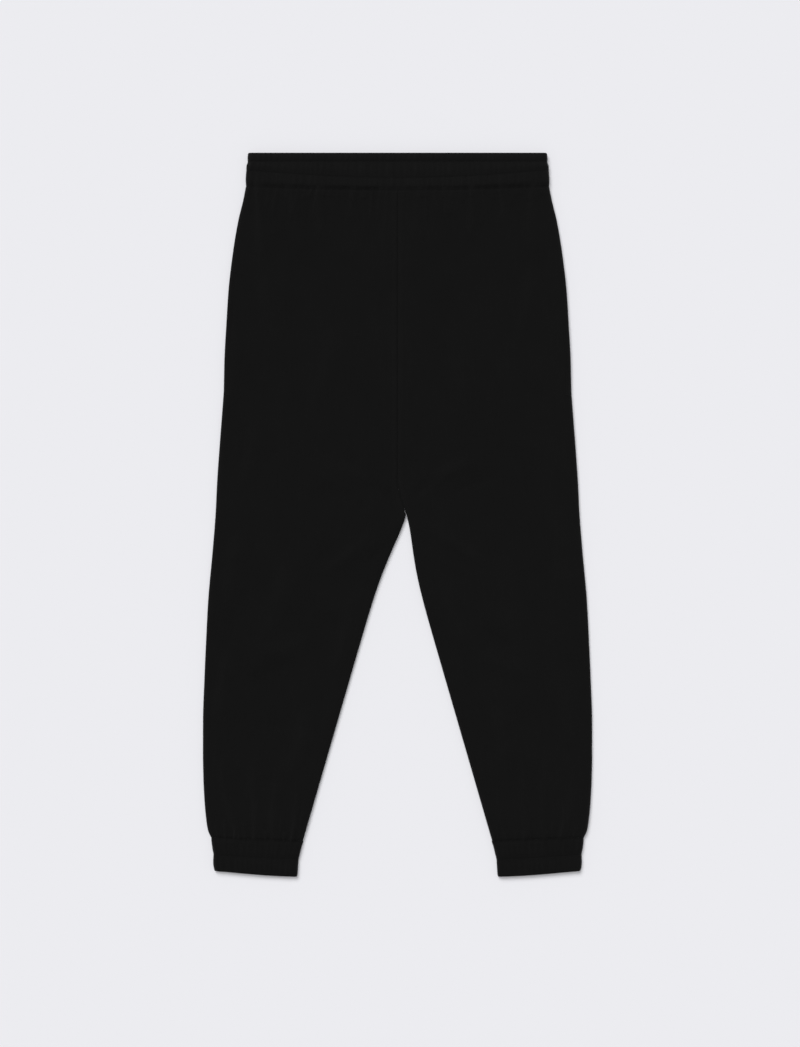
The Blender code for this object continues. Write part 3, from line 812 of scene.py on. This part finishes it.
def stitch_tree():
    """Lays stitches along a path: short arcs of thread that rise from the cloth and dip back in."""
    tree = bpy.data.node_groups.new("stitch_row", "GeometryNodeTree")
    node, maths = partial(add_node, tree), partial(add_maths, tree)
    for label, kind in (
        ("Path", "Geometry"), ("Pitch", "Float"), ("Stitch length", "Float"), ("Thread radius", "Float"),
        ("Rise", "Float"), ("Turn", "Float"), ("Seed", "Int"), ("Thread", "Material"),
    ):
        tree.interface.new_socket(label, in_out="INPUT", socket_type=f"NodeSocket{kind}")
    tree.interface.new_socket("Stitches", in_out="OUTPUT", socket_type="NodeSocketGeometry")
    given = node("NodeGroupInput")

    def vector(x, y, z):
        return node("ShaderNodeCombineXYZ", {"X": x, "Y": y, "Z": z})[0]

    def random_between(low, high):
        limits = {2: low, 3: high, "Seed": given["Seed"]}
        return node("FunctionNodeRandomValue", limits, data_type="FLOAT")[1]

    curve = node("GeometryNodeMeshToCurve", {"Mesh": given["Path"]})[0]
    points = node("GeometryNodeCurveToPoints", {"Curve": curve, "Length": given["Pitch"]}, mode="LENGTH")
    outward = node("GeometryNodeInputNamedAttribute", {"Name": "outward"}, data_type="FLOAT_VECTOR")[0]

    times = partial(maths, "MULTIPLY")
    half = times(given["Stitch length"], 0.5)
    ends = times(given["Thread radius"], -1.0)
    arc = {
        "Resolution": ARC_STEPS,
        "Start": vector(times(half, -1.0), 0.0, ends),
        "Middle": vector(0.0, 0.0, times(given["Rise"], 2.0)),
        "End": vector(half, 0.0, ends),
    }
    arc = node("GeometryNodeCurveQuadraticBezier", arc)[0]
    thread = {"Resolution": THREAD_SIDES, "Radius": given["Thread radius"]}
    thread = node("GeometryNodeCurvePrimitiveCircle", thread)[0]
    tube = {"Curve": arc, "Profile Curve": thread, "Fill Caps": True}
    tube = node("GeometryNodeCurveToMesh", tube)[0]
    stitch = node("GeometryNodeSetShadeSmooth", {"Geometry": tube})[0]

    along = node("FunctionNodeAlignRotationToVector", {"Vector": points["Tangent"]}, axis="X")[0]
    upright = {"Rotation": along, "Vector": outward}
    upright = node("FunctionNodeAlignRotationToVector", upright, axis="Z", pivot_axis="X")[0]
    turn = maths("ADD", random_between(-STITCH_SWAY, STITCH_SWAY), given["Turn"])
    laid = {"Rotation": upright, "Rotate By": vector(0.0, 0.0, turn)}
    laid = node("FunctionNodeRotateRotation", laid, rotation_space="LOCAL")[0]
    size = random_between(*STITCH_SIZES)
    row = {"Points": points[0], "Instance": stitch, "Rotation": laid, "Scale": size}
    row = node("GeometryNodeInstanceOnPoints", row)[0]
    real = node("GeometryNodeRealizeInstances", {"Geometry": row})[0]
    finished = node("GeometryNodeSetMaterial", {"Geometry": real, "Material": given["Thread"]})[0]
    node("NodeGroupOutput", {"Stitches": finished})
    return tree


def stitch_mesh(tree, stitching, thread, seed):
    """The plain mesh of one row of stitches."""
    edges = [(i, i + 1) for i in range(len(stitching.points) - 1)]
    mesh = bpy.data.meshes.new("stitch_path")
    mesh.from_pydata(stitching.points.tolist(), edges, [])
    directions = mesh.attributes.new("outward", "FLOAT_VECTOR", "POINT")
    directions.data.foreach_set("vector", stitching.outward.astype(np.float32).ravel())
    path = add_object("stitch_path", mesh)
    sewing = path.modifiers.new("sewing", "NODES")
    sewing.node_group = tree
    names = {item.name: item.identifier for item in tree.interface.items_tree if item.in_out == "INPUT"}
    wanted = {
        "Pitch": stitching.pitch * MM, "Stitch length": stitching.length * MM,
        "Thread radius": THREAD_RADIUS * MM, "Rise": stitching.rise * MM,
        "Turn": stitching.turn, "Seed": seed, "Thread": thread,
    }
    for label, value in wanted.items():
        sewing[names[label]] = value
    depsgraph = bpy.context.evaluated_depsgraph_get()
    result = bpy.data.meshes.new_from_object(path.evaluated_get(depsgraph))
    path.modifiers.remove(sewing)
    bpy.data.objects.remove(path, do_unlink=True)
    return result


def casing_rows(loops, casing):
    """Stitches along a casing's front and back, up to where its edges turn down."""
    _, sideways, upward = flat_loop(casing.across, casing.turn)
    outward = np.stack((sideways, 0 * upward, upward), axis=-1)
    reach = casing.turn // 4
    rows = []
    for loop in loops:
        for start in (0, casing.across + casing.turn):
            taken = np.arange(start - reach, start + casing.across + reach + 1) % len(loop)
            rows.append(Stitching(loop[taken], outward[taken]))
    return rows


def pocket_rows(skin):
    """The row of stitches beside a pocket's mouth, and a bar tack across each of its ends."""
    column = skin.shape[1] - FRONT_DETAIL.edge_steps - 1
    line = skin[:, column]
    drop = LENGTH / 2 - line[:, 1] / MM
    mouth = line[(drop > MOUTH_TOP) & (drop < MOUTH_FOOT + PAST_MOUTH)]
    rows = [Stitching(mouth, np.tile(UP, (len(mouth), 1)))]
    for end in (0, -1):
        row = int(np.argmin(np.linalg.norm(line - mouth[end], axis=1)))
        across = skin[row, column + TACK_FROM : column + TACK_TO]
        rows.append(Stitching(across, np.tile(UP, (len(across), 1)), *TACK_MEASURES))
    return rows


# ---------------- materials

# The wale is the width of a column of stitches and the course the height of one. Nap is the share of loose
# fibre on the face, and shade is how much painted shade darkens the hollows between the yarns.
Knit = namedtuple("Knit", "name level wale course nap shade roughness sheen")
# The waistband's fleece is a little paler and the cuffs' a little darker than the legs': painted light, for
# light that falls off from the waist towards the hems.
KNITS = (
    Knit("brushed fleece", 0.0055, 0.95, 0.80, 0.5, 0.8, 0.92, 0.14),
    Knit("waistband fleece", 0.0060, 0.90, 0.80, 0.5, 0.8, 0.90, 0.14),
    Knit("cuff fleece", 0.0053, 0.90, 0.80, 0.5, 0.8, 0.90, 0.14),
    Knit("pocket jersey", 0.0038, 0.70, 0.60, 0.2, 0.6, 0.85, 0.02),
)

STRAY_SCALE, CLOUD_SCALE, TUFT_SCALE, FUZZ_SCALE = 140.0, 26.0, 420.0, 1500.0  # for noises, a metre
STREAK_SCALE = (700.0, 16.0, 0.0)  # thick and thin yarn shows as faint streaks along the wales
STRAY = 0.9  # how far the columns stray, in wales
STITCH_SLANT = 1.1  # how far up, in courses, the arms of a stitch's V run over a wale
ARM_DEPTH = 0.3  # how much lower an arm lies where it passes under the next
NAP_COVER = 0.6  # how much the nap hides the yarn
FUZZ_WEIGHT = 0.9  # of single fibres against tufts
MEAN_SURFACE = 0.8  # the height at which the cloth has its own level of colour
CLOUD_SHARE, STREAK_SHARE = 0.2, 0.24
WEAR_AND_SHADE_TONE = 0.3  # worn cloth is paler, and cloth under painted shade darker, by up to this share
ROUGHNESS_RANGE = 0.12
KNIT_BUMP, THREAD_BUMP = 0.3, 0.08
THREAD_LEVEL = 0.0050
TWIST_SCALE = 3800.0


def new_material(name):
    material = bpy.data.materials.new(name)
    material.use_nodes = True
    return material, material.node_tree.nodes["Principled BSDF"]


def knit_material(knit):
    """A knitted cloth: columns of small Vs on the UV map, under a nap of loose fibre."""
    material, shader = new_material(knit.name)
    tree = material.node_tree
    node, maths = partial(add_node, tree), partial(add_maths, tree)
    times, times_plus = partial(maths, "MULTIPLY"), partial(maths, "MULTIPLY_ADD")

    def noise(scale, detail, source):
        texture = {"Vector": source, "Scale": scale, "Detail": detail, "Roughness": 0.6}
        return node("ShaderNodeTexNoise", texture)[0]

    cloth = node("ShaderNodeUVMap", uv_map="cloth")[0]
    places = node("ShaderNodeTexCoord")["Object"]
    across, down, _ = node("ShaderNodeSeparateXYZ", {0: cloth})
    stray = times(maths("SUBTRACT", noise(STRAY_SCALE, 2.0, places), 0.5), STRAY)
    column = maths("ADD", maths("DIVIDE", across, knit.wale * MM), stray)
    from_middle = maths("ABSOLUTE", maths("SUBTRACT", maths("FRACT", column), 0.5))
    strand = maths("SINE", times(from_middle, 2.0 * math.pi))
    slant = times_plus(from_middle, STITCH_SLANT, maths("DIVIDE", down, knit.course * MM))
    arm = maths("SINE", times(slant, 2.0 * math.pi))
    stitch = times(strand, times_plus(arm, ARM_DEPTH, 1.0 - ARM_DEPTH))

    fuzz = noise(FUZZ_SCALE, 4.0, places)
    tufts = noise(TUFT_SCALE, 3.0, places)
    clouds = noise(CLOUD_SCALE, 3.0, places)
    stretched = node("ShaderNodeVectorMath", {0: cloth, 1: STREAK_SCALE}, operation="MULTIPLY")[0]
    streaks = noise(1.0, 2.0, stretched)
    surface = times_plus(tufts, knit.nap, times(stitch, 1.0 - NAP_COVER * knit.nap))
    surface = times_plus(fuzz, FUZZ_WEIGHT * knit.nap, surface)
    bump = node("ShaderNodeBump", {"Strength": 0.8, "Distance": KNIT_BUMP * MM, "Height": surface})

    # Painted shade darkens the hollows between the yarns; clouds and streaks vary the tone at random.
    tone = times_plus(surface, knit.shade, 1.0 - MEAN_SURFACE * knit.shade)
    tone = times(tone, times_plus(clouds, CLOUD_SHARE, 1.0 - CLOUD_SHARE / 2))
    tone = times(tone, times_plus(streaks, STREAK_SHARE, 1.0 - STREAK_SHARE / 2))
    # Worn places turn paler, and painted shade darkens grooves, troughs and stitched rows.
    wear_and_shade = node("ShaderNodeAttribute", attribute_name="wear_and_shade")["Fac"]
    tone = times(tone, times_plus(wear_and_shade, WEAR_AND_SHADE_TONE, 1.0))
    tint = node("ShaderNodeVectorMath", {0: (knit.level,) * 3, "Scale": tone}, operation="SCALE")
    finish = {
        "Base Color": tint[0],
        "Roughness": times_plus(tufts, ROUGHNESS_RANGE, knit.roughness - ROUGHNESS_RANGE / 2),
        "Normal": bump[0],
        "Specular IOR Level": 0.08,
        "Sheen Weight": knit.sheen,
        "Sheen Roughness": 0.35,
    }
    set_inputs(tree, shader, finish)
    return material


def thread_material():
    """Spun thread with a slight gloss and fine twist."""
    material, shader = new_material("sewing thread")
    node = partial(add_node, material.node_tree)
    twist = {"Vector": node("ShaderNodeTexCoord")["Object"], "Scale": TWIST_SCALE, "Detail": 2.0}
    twist = node("ShaderNodeTexNoise", twist)[0]
    tone = node("ShaderNodeMapRange", {"Value": twist, "To Min": 0.7, "To Max": 1.35})[0]
    tint = node("ShaderNodeVectorMath", {0: (THREAD_LEVEL,) * 3, "Scale": tone}, operation="SCALE")
    bump = node("ShaderNodeBump", {"Strength": 0.5, "Distance": THREAD_BUMP * MM, "Height": twist})
    finish = {"Base Color": tint[0], "Roughness": 0.62, "Normal": bump[0], "Specular IOR Level": 0.12}
    set_inputs(material.node_tree, shader, finish)
    return material


# ---------------- stage

CAMERA_HEIGHT = 3.5  # metres
FRAME_HEIGHT = 1047  # pixels
MM_PER_PIXEL = 1.3822  # at the cloth
SCALE_HEIGHT = 5.0  # the outline lies about this far above the surface
VIEW_X, VIEW_Y = 3.45, -12.1  # middle of the view
SENSOR = 36.0
PALE = (0.8388, 0.8388, 0.8714)
FLOOR_REACH = 60.0  # metres
FLOOR_DROP = 0.2  # keeps the floor clear of the cloth that rests on it


def make_camera():
    data = bpy.data.cameras.new("camera")
    data.sensor_width = SENSOR
    view_height = FRAME_HEIGHT * MM_PER_PIXEL * MM
    data.lens = SENSOR * (CAMERA_HEIGHT - SCALE_HEIGHT * MM) / view_height
    data.clip_start, data.clip_end = 0.1, 100.0
    camera = add_object("camera", data)
    camera.location = (VIEW_X * MM, VIEW_Y * MM, CAMERA_HEIGHT)
    bpy.context.scene.camera = camera


def make_floor():
    mesh = bpy.data.meshes.new("floor")
    corners = [(x * FLOOR_REACH, y * FLOOR_REACH, 0.0) for x, y in ((-1, -1), (1, -1), (1, 1), (-1, 1))]
    mesh.from_pydata(corners, [], [(0, 1, 2, 3)])
    floor = add_object("floor", mesh)
    floor.location.z = -FLOOR_DROP * MM
    material, shader = new_material("pale paper")
    paper = {"Base Color": (*PALE, 1.0), "Roughness": 1.0, "Specular IOR Level": 0.0}
    set_inputs(material.node_tree, shader, paper)
    mesh.materials.append(material)


def add_sun(name, strength, spread, direction):
    """A far light. Its strength is the share of white that it adds to a white floor."""
    towards = Vector(direction).normalized()
    data = bpy.data.lights.new(name, "SUN")
    data.energy = strength * math.pi / towards.z
    data.angle = math.radians(spread)
    lamp = add_object(name, data)
    lamp.rotation_mode = "QUATERNION"
    lamp.rotation_quaternion = (-towards).to_track_quat("-Z", "Y")


def make_light():
    """A soft key from beyond the waist, on the wearer's right, a broad overhead light and an even fill."""
    add_sun("soft key", strength=0.46, spread=34, direction=(-0.42, 0.80, 1.0))
    add_sun("overhead", strength=0.30, spread=30, direction=(0.0, 0.12, 1.0))

    world = bpy.data.worlds.new("studio")
    bpy.context.scene.world = world
    world.use_nodes = True
    world.node_tree.nodes.clear()
    node = partial(add_node, world.node_tree)
    fill = node("ShaderNodeBackground", {"Color": (1.0, 1.0, 1.0, 1.0), "Strength": 0.24})[0]
    seen = node("ShaderNodeBackground", {"Color": (*PALE, 1.0), "Strength": 1.0})[0]
    ray = node("ShaderNodeLightPath")["Is Camera Ray"]
    mix = node("ShaderNodeMixShader", {0: ray, 1: fill, 2: seen})[0]
    node("ShaderNodeOutputWorld", {"Surface": mix})
    bpy.context.scene.view_settings.view_transform = "Standard"


# ---------------- the garment


def dress(thing, material, slot, *nodes):
    """Gives a piece its material, attaches it to the body it rides on, and hides the solids it stands for.
    """
    thing.data.materials.clear()
    thing.data.materials.append(material)
    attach(thing, "root")
    if nodes:
        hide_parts(*nodes)


def sew(name, rows, seeds, tree, thread):
    """One piece of thread from rows of stitches."""
    points, faces = [], []
    for row, seed in zip(rows, seeds):
        mesh = stitch_mesh(tree, row, thread, seed)
        start = len(points)
        points.extend(vertex.co[:] for vertex in mesh.vertices)
        faces.extend([start + i for i in face.vertices] for face in mesh.polygons)
        bpy.data.meshes.remove(mesh)
    joined = bpy.data.meshes.new(name)
    joined.from_pydata(points, [], faces)
    joined.shade_smooth()
    dress(add_object(name, joined), thread, "thread")


def main():
    make_camera()
    make_light()
    make_floor()
    fleece, band_fleece, cuff_fleece, jersey = (knit_material(knit) for knit in KNITS)
    thread = thread_material()
    tree = stitch_tree()

    for side, label in ((1, "left"), (-1, "right")):
        front, skin = make_panel(f"{label}_leg_front", side, "front")
        dress(front, fleece, "fleece", f"front_{label}")
        back, _ = make_panel(f"{label}_leg_back", side, "back")
        dress(back, fleece, "fleece", f"back_{label}")
        bag = make_pocket_bag(f"{label}_pocket_bag", side)
        dress(bag, jersey, "pocketing", f"pocket_bag_{label}")
        casing = cuff_casing(side)
        cuff, loops = make_casing(f"{label}_cuff", casing)
        dress(cuff, cuff_fleece, "casing", f"cuff_{label}")
        seeds = repeat(CUFF_ROW_SEED + side)
        sew(f"{label}_cuff_stitches", casing_rows(loops, casing), seeds, tree, thread)
        sew(f"{label}_pocket_stitches", pocket_rows(skin), count(POCKET_ROW_SEED), tree, thread)

    casing = waistband_casing()
    band, loops = make_casing("elastic_waistband", casing)
    dress(band, band_fleece, "casing", "waistband")
    sew("waistband_stitches", casing_rows(loops, casing), count(BAND_ROW_SEED), tree, thread)


main()
